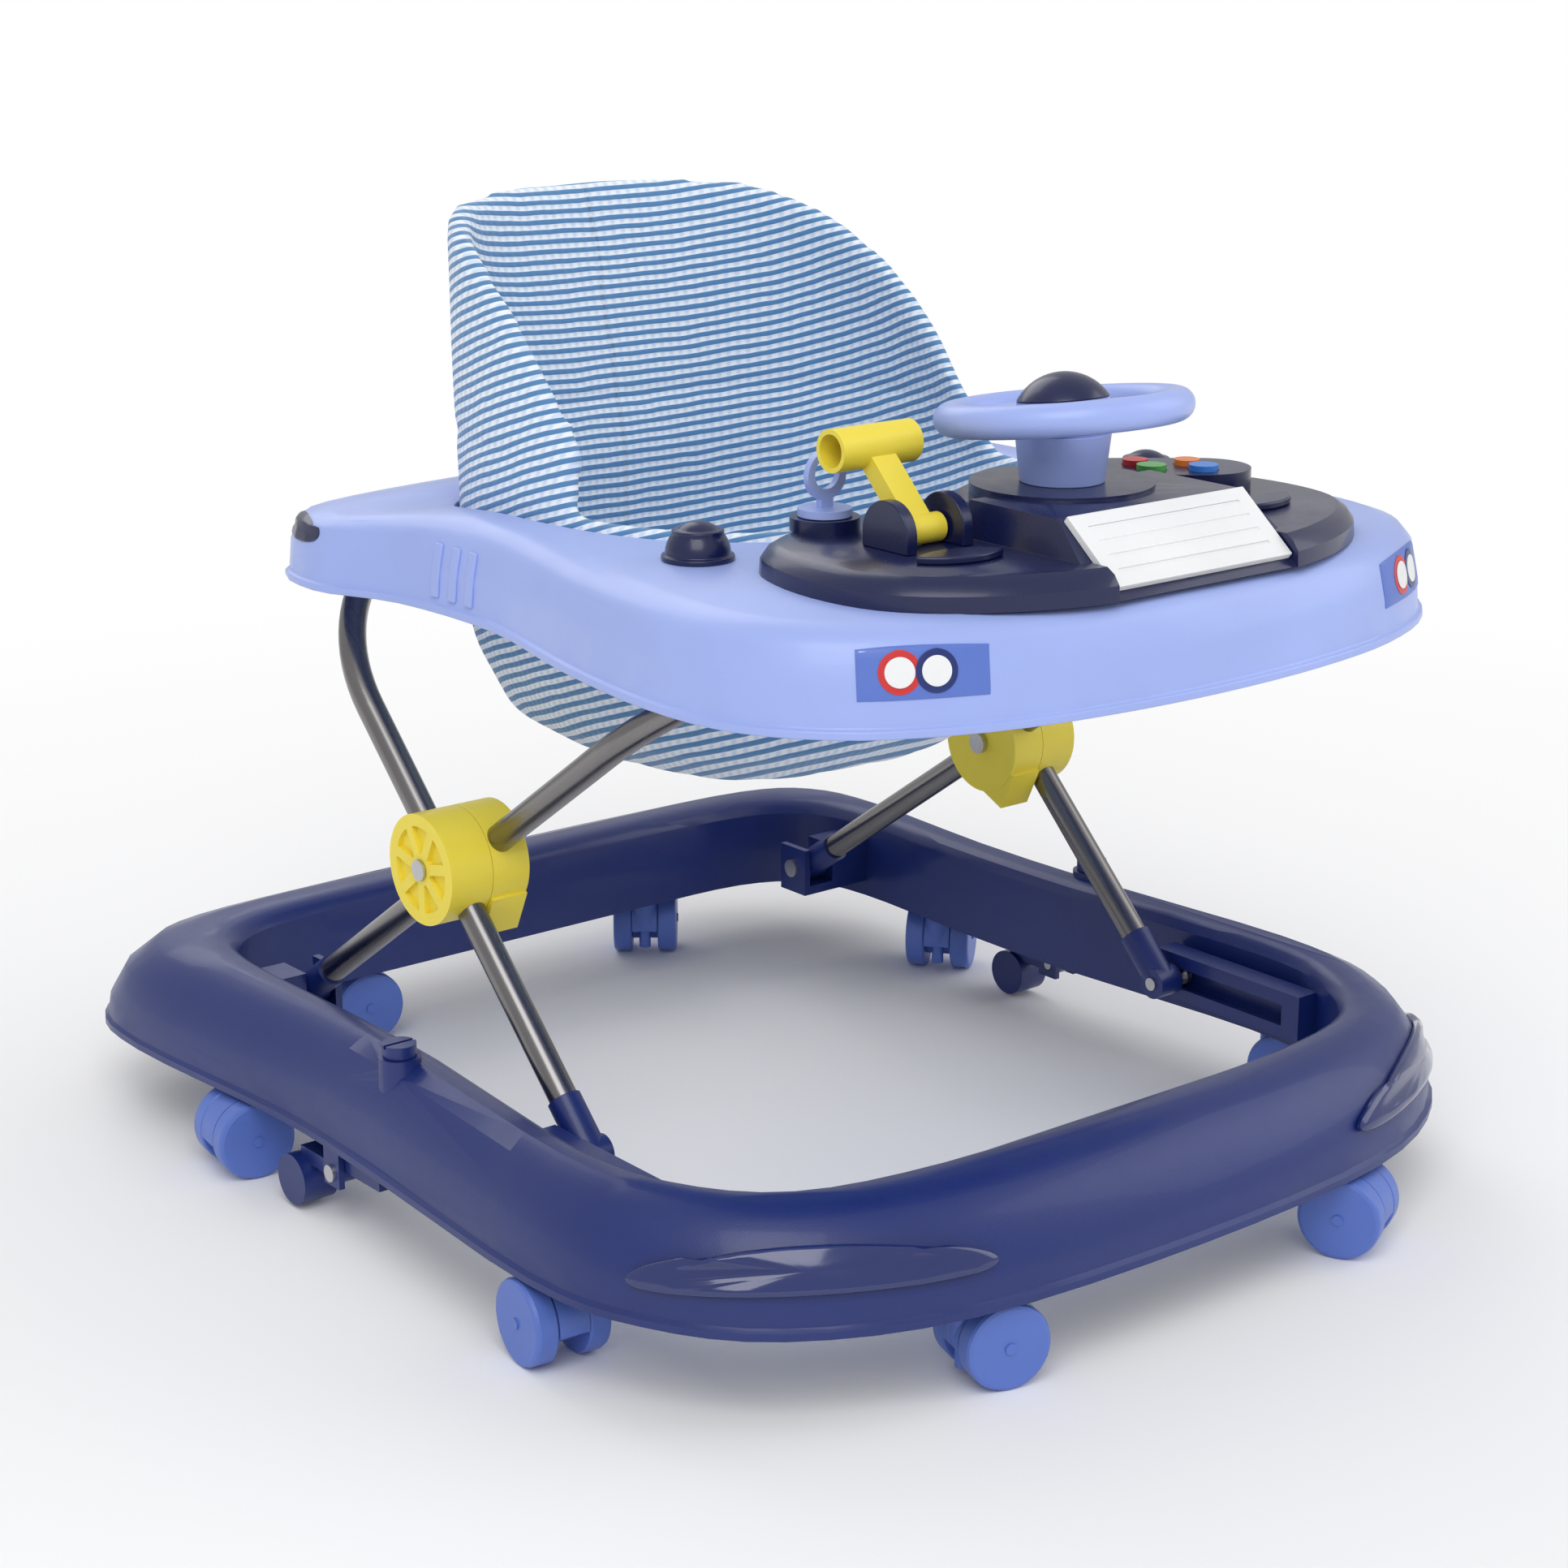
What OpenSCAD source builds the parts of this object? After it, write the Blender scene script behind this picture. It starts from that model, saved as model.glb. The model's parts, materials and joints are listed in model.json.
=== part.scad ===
// Folding baby walker: base ring on eight casters, scissor frame, play tray and bucket seat.
// Front is -Y, the floor is z = 0 and the walker is symmetric about x = 0.

/* [Base ring] */
// Overall width of the base ring
base_w = 602; // [560:1:740]
// Overall length of the base ring
base_l = 700; // [600:1:860]
// Height of the ring's moulding from its lower edge to its crest
ring_h = 59; // [50:1:75]
// Wall of the ring's moulding
ring_wall = 3; // [2:0.5:4]

/* [Casters] */
// Diameter of a caster's twin discs
wheel_d = 47; // [40:1:58]
// Thickness of one caster disc
disc_t = 12.8; // [9:0.1:16]
// Width of the hood between the discs
hood_w = 17.4; // [14:0.1:22]
// Distance from a caster's stem to its axle
trail = 16; // [10:1:20]
// Diameter of a caster's stem
stem_d = 8; // [6:0.5:9]

/* [Scissor frame] */
// Outside diameter of the frame tubes
tube_d = 16; // [13:0.5:20]
// Wall of the frame tubes
tube_wall = 1.2; // [0.8:0.1:2]
// Bend radius of the tube corners, at the centre line
bend_r = 115; // [80:1:125]
// Diameter of the hub shells
hub_d = 63; // [52:1:70]
// Diameter of the pins at the feet
pin_d = 8; // [6:0.5:9]

/* [Tray] */
// Height of the tray's lower edge above the floor
tray_z = 346; // [300:1:400]
// Height of the tray's moulding at its front
tray_h = 52; // [44:1:60]
// Wall of the tray's moulding
tray_wall = 3; // [2:0.5:4]

/* [Seat] */
// Height of the seat back above the tray
back_h = 158; // [120:1:200]
// Thickness of the seat's padding
seat_t = 13; // [8:1:18]

/* [Toys] */
// Diameter of the steering wheel, outside its rim
steer_d = 134; // [110:1:160]
// Diameter of the steering wheel's rim section
rim_d = 17; // [12:1:22]
// Tilt of the steering wheel towards the child
steer_tilt = 7; // [0:1:15]
// Height of the toy panel's deck above the tray
deck_h = 16; // [12:1:22]
// Travel of a music button
button_travel = 2; // [1:0.5:3]

/* [Hidden] */
$fn = 48;
eps = 0.01;
run_gap = 0.05;   // radial clearance of a running pin
side_gap = 0.4;   // clearance between parts that slide past each other
open_gap = 2.5;   // room at an open pivot, for the linkage's small error
n_sub = 4;        // stations between two points of a plan outline
sx = base_w / 602;
sy = base_l / 700;
tube_r = tube_d / 2;
pin_r = pin_d / 2;
wheel_r = wheel_d / 2;
ring_z = wheel_d + 2;
crest_z = ring_z + ring_h;

// Scissor linkage, in the plane x = const
foot_z = ring_z + 28;
bar_z = tray_z + 16;
hub_share = 0.456;
hub_z = foot_z + (bar_z - foot_z) * hub_share;
foot_a_y = 212 * sy;
foot_b_y = -108 * sy;
hub_y = 24 * sy;
angle_a = atan2(hub_z - foot_z, foot_a_y - hub_y);
angle_b = atan2(hub_z - foot_z, hub_y - foot_b_y);
len_a = (bar_z - foot_z) / sin(angle_a);
len_b = (bar_z - foot_z) / sin(angle_b);
bar_a_y = foot_a_y - len_a * cos(angle_a);
bar_b_y = foot_b_y + len_b * cos(angle_b);
fold_max = 22;
angle_a_end = angle_a - fold_max;
hub_y_end = foot_a_y - norm([hub_z - foot_z, foot_a_y - hub_y]) * cos(angle_a_end);
hub_z_end = foot_z + norm([hub_z - foot_z, foot_a_y - hub_y]) * sin(angle_a_end);
lower_b = norm([hub_z - foot_z, hub_y - foot_b_y]);
angle_b_end = asin((hub_z_end - foot_z) / lower_b);
foot_b_y_end = hub_y_end - lower_b * cos(angle_b_end);
bar_a_y_end = bar_a_y + (foot_a_y - len_a * cos(angle_a_end) - bar_a_y)
    - (foot_b_y_end + len_b * cos(angle_b_end) - bar_b_y);
ring_in = 238 * sx;
frame_gap = 2;
leg_b_x = ring_in - 14 - tube_r;
leg_a_x = leg_b_x - tube_d - frame_gap;
hub_split = (leg_a_x + leg_b_x) / 2;
hub_out = leg_b_x + tube_r + 10;
hub_in = leg_a_x - tube_r - 7;

// Plan outlines: the right half, from the front centre to the rear centre
ring_outer_half = [[0, -351], [150, -341], [240, -303], [285, -245], [301, -170], [290, 0],
    [287, 100], [297, 250], [285, 315], [240, 341], [120, 349], [0, 350]];
ring_inner_half = [[0, -282], [120, -280], [200, -262], [240, -215], [252, -150], [239, 0],
    [237, 100], [239, 200], [226, 248], [184, 272], [100, 276], [0, 276]];
tray_half = [[0, -353], [72, -349], [140, -336], [200, -308], [236, -262], [244, -200],
    [233, -115], [212, -20], [214, 70], [234, 128], [214, 184], [120, 208], [0, 214]];
opening_half = [[0, -140], [45, -138], [88, -128], [120, -108], [144, -80], [158, -45],
    [165, -5], [167, 35], [163, 75], [149, 110], [120, 138], [70, 156], [0, 162]];
panel_half = [[0, -342], [70, -338], [125, -318], [160, -288], [172, -250], [168, -205],
    [150, -172], [100, -156], [0, -150]];

function spline(a, b, c, d, t) = 0.5 * (2 * b + (c - a) * t + (2 * a - 5 * b + 4 * c - d) * t * t
    + (3 * b - a - 3 * c + d) * t * t * t);
function whole(half) = concat(half, [for (i = [len(half) - 2:-1:1]) [-half[i][0], half[i][1]]]);
function scaled(pts) = [for (p = pts) [p[0] * sx, p[1] * sy]];
function smooth_loop(c, n = n_sub) = [for (i = [0:len(c) - 1], k = [0:n - 1])
    spline(c[(i + len(c) - 1) % len(c)], c[i], c[(i + 1) % len(c)], c[(i + 2) % len(c)], k / n)];
function outward(pts, i) = let(n = len(pts), t = pts[(i + 1) % n] - pts[(i + n - 1) % n])
    [t[1], -t[0]] / norm(t);
function inset(pts, d) = [for (i = [0:len(pts) - 1]) pts[i] - d * outward(pts, i)];
function about(pts, c, k) = [for (p = pts) c + k * (p - c)];
function lift(pts, z) = [for (p = pts) [p[0], p[1], z]];
function ease(a, b, t) = let(u = min(1, max(0, (t - a) / (b - a)))) u * u * (3 - 2 * u);

ring_outer = smooth_loop(scaled(whole(ring_outer_half)));
ring_inner = smooth_loop(scaled(whole(ring_inner_half)));
tray_plan = smooth_loop(scaled(whole(tray_half)));
opening_plan = smooth_loop(scaled(whole(opening_half)));
panel_plan = smooth_loop(scaled(whole(panel_half)));

// A closed surface through rings of equal length: wrapped round like a tyre, or capped at its ends
module loop_solid(rings) {
    m = len(rings);
    n = len(rings[0]);
    points = [for (r = rings, p = r) p];
    faces = [for (j = [0:m - 1], i = [0:n - 1], side = [0, 1])
        let(a = j * n + i, b = ((j + 1) % m) * n + i, c = ((j + 1) % m) * n + (i + 1) % n,
            d = j * n + (i + 1) % n)
        side == 0 ? [a, d, c] : [a, c, b]];
    polyhedron(points = points, faces = faces);
}
module stack_solid(rings) {
    m = len(rings);
    n = len(rings[0]);
    points = [for (r = rings, p = r) p];
    sides = [for (j = [0:m - 2], i = [0:n - 1], side = [0, 1])
        let(a = j * n + i, b = j * n + (i + 1) % n, c = (j + 1) * n + (i + 1) % n, d = (j + 1) * n + i)
        side == 0 ? [a, d, c] : [a, c, b]];
    caps = [[for (i = [0:n - 1]) i], [for (i = [n - 1:-1:0]) (m - 1) * n + i]];
    polyhedron(points = points, faces = concat(sides, caps));
}
// A rod along X through a point
module rod(p, r, x0, x1) {
    translate([x0, p[0], p[1]]) rotate([0, 90, 0]) cylinder(r = r, h = x1 - x0);
}
module box(lo, hi) {
    translate(lo) cube(hi - lo);
}
module both_sides() {
    children();
    mirror([1, 0, 0]) children();
}

// ---- base ring ----
caster_places = [
    [-134, -314, 254], [134, -314, 206], [-278, -146, 174], [278, -146, 196],
    [-264, 152, 82], [264, 152, 309], [-126, 306, 262], [126, 306, 321]];
tower = [264 * sx, 4 * sy];
brake_x = 276 * sx;
brake_y = 45 * sy;
brake_z = ring_z - 15;
function ring_level(u, off, z) = [for (i = [0:len(ring_outer) - 1])
    let(w = norm(ring_outer[i] - ring_inner[i]), d = (ring_outer[i] - ring_inner[i]) / w,
        p = ring_inner[i] + d * (u * w + off))
    [p[0], p[1], z]];
module ring_envelope() {
    loop_solid([ring_level(0, 0, ring_z), ring_level(0, 0, crest_z - 9), ring_level(0, 3, crest_z - 3.5),
        ring_level(0, 9, crest_z - 0.5), ring_level(0.36, 0, crest_z), ring_level(0.6, 0, crest_z - 6),
        ring_level(0.82, 0, crest_z - 22), ring_level(0.95, 0, crest_z - 42),
        ring_level(1, -2.5, ring_z + 6), ring_level(1, 0, ring_z + 4), ring_level(1, 0, ring_z)]);
}
module ring_hollow() {
    w = ring_wall;
    loop_solid([ring_level(0, w, ring_z - 5), ring_level(0, w, crest_z - 12), ring_level(0, w + 6, crest_z - w - 1),
        ring_level(0.36, 0, crest_z - w - 0.5), ring_level(0.56, 0, crest_z - w - 5.5),
        ring_level(0.78, -1, crest_z - w - 22), ring_level(0.92, -2, crest_z - w - 40),
        ring_level(1, -w - 2.5, ring_z - 5)]);
}
module at_caster(i) {
    p = caster_places[i - 1];
    translate([p[0] * sx, p[1] * sy, 0]) rotate([0, 0, p[2]]) children();
}
slot_z = foot_z;
rail_in = leg_b_x + tube_r + 4;
module slide_slot() {
    box([rail_in - 1, foot_b_y_end - pin_r - open_gap, slot_z - pin_r - open_gap],
        [rail_in + 3.5, foot_b_y + pin_r + open_gap, slot_z + pin_r + open_gap]);
    box([rail_in + 3, foot_b_y_end - pin_r - 2 - open_gap, slot_z - pin_r - 2.5 - open_gap],
        [rail_in + 11, foot_b_y + pin_r + 2 + open_gap, slot_z + pin_r + 2.5 + open_gap]);
}
module rail_block() {
    box([rail_in, foot_b_y_end - 20, slot_z - 14], [rail_in + 16, foot_b_y + 16, slot_z + 15]);
}
module foot_ears() {
    x0 = leg_a_x - tube_r - 6.5;
    difference() {
        box([x0, foot_a_y - 13, foot_z - 17], [ring_in + 1, foot_a_y + 13, foot_z + 15]);
        box([leg_a_x - tube_r - 2, foot_a_y - 30, foot_z - 11], [leg_a_x + tube_r + 2, foot_a_y + 30, foot_z + 40]);
    }
}
module brake_ears() {
    for (x = [brake_x - 10, brake_x + 6.4])
        box([x, brake_y - 8, ring_z - 23], [x + 3.6, brake_y + 8, crest_z]);
}
module base_ring() {
    color("midnightblue") difference() {
        union() {
            ring_envelope();
            both_sides() {
                rail_block();
                foot_ears();
                translate(tower) cylinder(r = 12, h = crest_z + 3.5);
            }
        }
        difference() {
            ring_hollow();
            for (i = [1:8]) at_caster(i) translate([0, 0, ring_z + 1]) cylinder(r = 8, h = ring_h);
            both_sides() {
                rail_block();
                translate(concat(tower, ring_z + 22)) cylinder(r = 9, h = ring_h);
            }
        }
        for (i = [1:8]) at_caster(i) cylinder(r = stem_d / 2 + run_gap, h = ring_z + 40);
        both_sides() {
            translate(tower) translate([0, 0, -1]) cylinder(r = 13, h = ring_z + 3);
            translate(tower) cylinder(r = 5 + run_gap, h = 2 * crest_z);
            slide_slot();
            rod([foot_a_y, foot_z], pin_r + run_gap, 0, leg_a_x + tube_r + 8);
        }
    }
}
// The two plates that carry each brake lever; the inner one reaches the ring's roof
module brake_brackets() {
    color("midnightblue") both_sides() difference() {
        intersection() {
            brake_ears();
            union() {
                box([0, -base_l, 0], [2 * brake_x, base_l, ring_z]);
                intersection() {
                    ring_hollow();
                    box([0, -base_l, 0], [brake_x + 2, base_l, crest_z]);
                }
            }
        }
        rod([brake_y, brake_z], 3, 0, 2 * brake_x);
    }
}
// Pins of the rear feet and of the brake levers, with their heads
module base_pins() {
    color("silver") both_sides() {
        rod([foot_a_y, foot_z], pin_r, leg_a_x - tube_r - 7, leg_a_x + tube_r + 7);
        rod([foot_a_y, foot_z], pin_r + 2, leg_a_x - tube_r - 9, leg_a_x - tube_r - 6.5 - eps);
        rod([brake_y, brake_z], 3 - run_gap, brake_x - 10, brake_x + 10);
        rod([brake_y, brake_z], 5, brake_x + 10 + eps, brake_x + 12);
    }
}

// ---- brakes ----
pad_r = 15;
pad_y = brake_y + 40;
module brake_knob(side) {
    color("navy") mirror([side, 0, 0]) difference() {
        union() {
            translate(concat(tower, ring_z - 4)) cylinder(r = 5, h = ring_h + 10);
            translate(concat(tower, crest_z + 3.5 + side_gap)) cylinder(r = 9.5, h = 7);
        }
        translate(concat(tower, crest_z + 11)) cube([24, 2.4, 4], center = true);
    }
}
module brake_lever(side) {
    color("navy") mirror([side, 0, 0]) difference() {
        union() {
            rod([brake_y, brake_z], 7, brake_x - 6, brake_x + 6);
            rod([pad_y, pad_r + 2.5], pad_r, brake_x - 9, brake_x + 13);
            box([brake_x - 6, brake_y - 44, ring_z - 13], [brake_x + 6, brake_y, ring_z - 5]);
            box([brake_x - 6, brake_y, brake_z - 6], [brake_x + 6, pad_y, brake_z + 3]);
        }
        rod([brake_y, brake_z], 3 + side_gap / 8, brake_x - 8, brake_x + 8);
    }
}

// ---- casters ----
axle_r = 3;
module caster_hood(i) {
    color("cornflowerblue") at_caster(i) difference() {
        union() {
            cylinder(r = stem_d / 2, h = ring_z + 38);
            translate([0, 0, wheel_r]) cylinder(r = 8, h = wheel_r + 2.5);
            intersection() {
                rod([trail, wheel_r], wheel_r - 0.3, -hood_w / 2, hood_w / 2);
                translate([-50, -50, wheel_r - 3]) cube(100);
            }
            rod([trail, wheel_r], wheel_r * 0.62, -hood_w / 2, hood_w / 2);
        }
        rod([trail, wheel_r], axle_r + run_gap, -50, 50);
        translate([0, 0, -1]) cylinder(r = 30, h = wheel_r - 15);
    }
}
module caster_wheels(i) {
    x0 = hood_w / 2 + side_gap;
    c = 2.4;
    color("cornflowerblue") at_caster(i) {
        rod([trail, wheel_r], axle_r, -x0 - disc_t - 1, x0 + disc_t + 1);
        both_sides() translate([x0, trail, wheel_r]) rotate([0, 90, 0]) rotate_extrude()
            polygon([[0, 0], [wheel_r - 1, 0], [wheel_r, 1], [wheel_r, disc_t - c], [wheel_r - 0.7, disc_t - 0.7],
                [wheel_r - c, disc_t], [0, disc_t]]);
    }
}

// ---- scissor frame ----
// A tube bent into a U, in its own plane: open ends at y = 0, cross bar at y = length
module bent_u(half, length) {
    for (s = [0, 1]) mirror([s, 0, 0]) {
        translate([half, 0, 0]) rotate([-90, 0, 0]) tube(length - bend_r);
        translate([half - bend_r, length - bend_r, 0]) rotate_extrude(angle = 90) translate([bend_r, 0])
            difference() {
                circle(tube_r);
                circle(tube_r - tube_wall);
            }
        translate([0, length, 0]) rotate([0, 90, 0]) tube(half - bend_r);
    }
}
module tube(h) {
    difference() {
        cylinder(r = tube_r, h = h);
        translate([0, 0, -1]) cylinder(r = tube_r - tube_wall, h = h + 2);
    }
}
module lean_a() {
    translate([0, foot_a_y, foot_z]) mirror([0, 1, 0]) rotate([angle_a, 0, 0]) children();
}
module lean_b() {
    translate([0, foot_b_y, foot_z]) rotate([angle_b, 0, 0]) children();
}
bolt_r = 4;
foot_cap_r = tube_r + 1.5;
module tube_a() {
    color("dimgray") difference() {
        lean_a() bent_u(leg_a_x, len_a);
        rod([foot_a_y, foot_z], foot_cap_r + 3, -base_w, base_w);
        rod([hub_y, hub_z], bolt_r, -base_w, base_w);
    }
}
module tube_b() {
    color("dimgray") difference() {
        lean_b() bent_u(leg_b_x, len_b);
        rod([foot_b_y, foot_z], foot_cap_r + 3, -base_w, base_w);
        rod([hub_y, hub_z], bolt_r + run_gap, -base_w, base_w);
    }
}
// A foot: a tongue in the tube's end, a collar round it and a bored eye
module foot(r) {
    difference() {
        union() {
            rotate([-90, 0, 0]) cylinder(r = r, h = 34);
            rotate([0, 90, 0]) cylinder(r = r, h = 2 * (r - 0.8), center = true);
        }
        rotate([-90, 0, 0]) translate([0, 0, foot_cap_r + 2]) cylinder(r = tube_r, h = 40);
        rotate([0, 90, 0]) cylinder(r = pin_r + run_gap, h = 60, center = true);
    }
}
module feet_a() {
    color("navy") both_sides() lean_a() translate([leg_a_x, 0, 0]) foot(foot_cap_r);
}
module feet_b() {
    color("navy") both_sides() lean_b() translate([leg_b_x, 0, 0]) foot(foot_cap_r);
}
// Headed pins that slide in the rails
module slide_pins() {
    color("silver") both_sides() {
        rod([foot_b_y, foot_z], pin_r, leg_b_x - tube_r - 2, rail_in + 8);
        rod([foot_b_y, foot_z], pin_r + 2, rail_in + 5, rail_in + 9);
    }
}
module hub_shell(x0, x1, corner) {
    rod([hub_y, hub_z], hub_d / 2, x0, x1);
    if (corner > 0) translate([x0 + 0.5, hub_y, hub_z]) rotate([corner, 0, 0])
        translate([0, 2, 2]) cube([x1 - x0 - 1, hub_d / 2, hub_d / 2 - 6]);
}
module hub_inner() {
    color("gold") both_sides() difference() {
        hub_shell(hub_in, hub_split - side_gap / 2, 205);
        lean_a() translate([leg_a_x, 0, 0]) rotate([-90, 0, 0]) cylinder(r = tube_r, h = len_a);
        rod([hub_y, hub_z], bolt_r, 0, base_w);
    }
}
module hub_outer() {
    color("gold") both_sides() difference() {
        hub_shell(hub_split + side_gap / 2, hub_out, 0);
        lean_b() translate([leg_b_x, 0, 0]) rotate([-90, 0, 0]) cylinder(r = tube_r, h = len_b);
        rod([hub_y, hub_z], bolt_r + run_gap, 0, base_w);
        translate([hub_out - 3, hub_y, hub_z]) rotate([0, 90, 0]) difference() {
            cylinder(r = hub_d / 2 - 7, h = 4);
            cylinder(r = 9, h = 4);
            for (a = [0:360 / 7:359]) rotate([0, 0, a]) translate([0, -3, 0]) cube([hub_d / 2, 6, 4]);
        }
    }
}
module hub_bolts() {
    color("silver") both_sides() {
        rod([hub_y, hub_z], bolt_r, hub_in - 1, hub_out + eps);
        rod([hub_y, hub_z], 6.5, hub_in - 4, hub_in - eps);
        rod([hub_y, hub_z], 6, hub_out + side_gap, hub_out + 2);
        rod([hub_y, hub_z], bolt_r, hub_out, hub_out + 1);
    }
}

// ---- tray ----
tray_top = tray_z + tray_h;
rear_drop = 12;
function tray_level(pts, z) = [for (p = pts)
    let(k = max(0, (z - tray_z - tray_h / 2) / (tray_h / 2)))
    [p[0], p[1], z - rear_drop * k * ease(20 * sy, 150 * sy, p[1])]];
function flat_roof(pts) = [for (p = pts)
    [p[0], p[1], tray_top - tray_wall - rear_drop * ease(20 * sy, 150 * sy, p[1])]];
module tray_shell() {
    w = tray_wall;
    color("lightsteelblue") loop_solid([
        tray_level(opening_plan, tray_z + 26), tray_level(opening_plan, tray_top - 3),
        tray_level(inset(opening_plan, -4), tray_top), tray_level(inset(tray_plan, 26), tray_top),
        tray_level(inset(tray_plan, 14), tray_top - 4), tray_level(inset(tray_plan, 8), tray_top - 11),
        tray_level(inset(tray_plan, 4), tray_z + 22), tray_level(inset(tray_plan, 2.5), tray_z + 5),
        tray_level(tray_plan, tray_z + 4), tray_level(tray_plan, tray_z),
        tray_level(inset(tray_plan, w + 2), tray_z), tray_level(inset(tray_plan, w + 4), tray_z + 22),
        tray_level(inset(tray_plan, w + 9), tray_top - 14), flat_roof(inset(tray_plan, w + 14)),
        flat_roof(inset(opening_plan, -w - 1)), tray_level(inset(opening_plan, -w), tray_z + 26)]);
}
clip_x = 75 * sx;
roof_front = tray_top - tray_wall;
roof_rear = roof_front - rear_drop;
module pivot_clips() {
    color("cornflowerblue") for (s = [-1, 1]) difference() {
        union() {
            rod([bar_b_y, bar_z], tube_r + 4.5, s * clip_x - 7, s * clip_x + 7);
            box([s * clip_x - 7, bar_b_y - tube_r - 4, bar_z], [s * clip_x + 7, bar_b_y + tube_r + 4, roof_rear]);
        }
        rod([bar_b_y, bar_z], tube_r + run_gap, -base_w, base_w);
    }
}
// Racks under the tray: the front bar runs in their slots and drops in a notch at each height
rack_x = 60 * sx;
module height_racks() {
    color("navy") for (s = [-1, 1]) difference() {
        box([s * rack_x - 7, bar_a_y_end - 20, tray_z - 8], [s * rack_x + 7, bar_a_y + 20, roof_front]);
        box([s * rack_x - 8, bar_a_y_end - tube_r - 3, bar_z - tube_r - open_gap],
            [s * rack_x + 8, bar_a_y + tube_r + 3, bar_z + tube_r + open_gap]);
        for (k = [0:3]) rod([bar_a_y + (bar_a_y_end - bar_a_y) * k / 3, bar_z - 4], tube_r + 1,
            s * rack_x - 8, s * rack_x + 8);
    }
}

// ---- seat ----
seat_c = [0, 15 * sy];
seat_drop = tray_top - tray_z + 100;
function seat_ring(k, z) = lift(about(opening_plan, seat_c, k), z);
function back_rise(y) = (y < -8 * sy) ? 4.5
    : 38 + (back_h - 38) * (1 - pow(1 - min(1, max(0, y / (165 * sy))), 2));
function seat_top(k, extra) = [for (p = about(opening_plan, seat_c, k))
    let(rise = back_rise(p[1]), f = rise / back_h)
    [p[0] * (1 - 0.1 * min(1, 4 * f * (rise > 10 ? 1 : 0))), p[1] + 36 * sy * f * ease(0, 150 * sy, p[1]),
        tray_top + rise + extra]];
module seat() {
    t = seat_t;
    z0 = tray_top - 152;
    color("aliceblue") union() {
        loop_solid([
            seat_ring(0.54, z0 + t), seat_ring(0.6, z0 + t + 4), seat_ring(0.77, z0 + 38),
            seat_ring(0.87, z0 + 72), seat_ring(0.9, z0 + 104), seat_ring(0.9, tray_top), seat_top(0.9, -3),
            seat_top(0.94, 0), seat_top(0.98, -3), seat_ring(0.985, tray_top), seat_ring(0.985, z0 + 104),
            seat_ring(0.95, z0 + 64), seat_ring(0.84, z0 + 26), seat_ring(0.64, z0 + 4), seat_ring(0.54, z0)]);
        box([-42 * sx, -80 * sy, z0 + 2], [42 * sx, 106 * sy, z0 + t - 2]);
    }
}

// ---- toy panel ----
deck_z = tray_top + deck_h;
steer_y = -232 * sy;
step_z = deck_z + 20;
hump_lo = [-334 * sy, tray_top + 3];
hump_hi = [-296 * sy, deck_z + 18];
function panel_ring(d, z) = lift(inset(panel_plan, d), z);
module panel_outside(g) {
    stack_solid([panel_ring(g, tray_top), panel_ring(g + 0.5, deck_z - 8), panel_ring(g + 4, deck_z - 3 - g / 2),
        panel_ring(g + 9, deck_z - g)]);
    translate([0, steer_y, tray_top]) cylinder(r1 = 66 - g, r2 = 54 - g, h = step_z - 7 - tray_top - g);
    hull() {
        box([-74 * sx + g, hump_lo[0] + g, tray_top], [74 * sx - g, steer_y, hump_lo[1]]);
        box([-64 * sx + g, hump_hi[0] + g, tray_top], [64 * sx - g, steer_y, hump_hi[1] - g]);
    }
}
// The sloping bed that the grille lies in
module grille_bed(g) {
    translate([0, hump_lo[0], hump_lo[1]]) rotate([slope, 0, 0])
        translate([-grille_w / 2 - 1 - g, -30, -g]) cube([grille_w + 2 + 2 * g, 100, 60]);
}
module toy_panel() {
    color("midnightblue") difference() {
        union() {
            panel_outside(0);
            translate([0, steer_y, deck_z]) cylinder(r = 48, h = step_z - deck_z);
        }
        difference() {
            translate([0, 0, -eps]) panel_outside(3);
            grille_bed(3);
        }
        grille_bed(0);
    }
}
slope = atan2(hump_hi[1] - hump_lo[1], hump_hi[0] - hump_lo[0]);
grille_w = 124;
grille_h = 46;
module grille() {
    color("white") translate([0, hump_lo[0], hump_lo[1]]) rotate([slope, 0, 0]) difference() {
        translate([-grille_w / 2, 1, 0]) cube([grille_w, grille_h, 4]);
        for (k = [1:4]) translate([-grille_w / 2 + 9, 1 + grille_h * k / 5, 3]) cube([grille_w - 18, 1.4, 2]);
    }
}
column_h = 30;
hub_c = [0, steer_y, step_z + column_h + 6];
module steering_column() {
    color("cornflowerblue") {
        translate([0, steer_y, step_z]) cylinder(r1 = 22, r2 = 25, h = column_h - 4);
        translate(hub_c) rotate([-steer_tilt, 0, 0]) translate([0, 0, -20]) cylinder(r = 5, h = 26);
    }
}
module steering_wheel() {
    major = (steer_d - rim_d) / 2;
    color("lightsteelblue") translate(hub_c) rotate([-steer_tilt, 0, 0]) difference() {
        union() {
            rotate_extrude() translate([major, 0]) circle(rim_d / 2);
            translate([0, 0, -4]) cylinder(r = 24, h = 10);
            for (a = [90:120:330]) rotate([0, 0, a]) translate([10, -12, -3.5]) cube([major - 13, 24, 7]);
        }
        translate([0, 0, -5]) cylinder(r = 5 + run_gap, h = 12);
    }
}
module steering_cap() {
    color("navy") translate(hub_c) rotate([-steer_tilt, 0, 0]) translate([0, 0, 6.2]) difference() {
        translate([0, 0, -14]) sphere(r = 28);
        translate([0, 0, -50]) cube(100, center = true);
    }
}
lever_c = [-101 * sx, -235 * sy, deck_z + 8];
lever_lean = 45;
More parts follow.
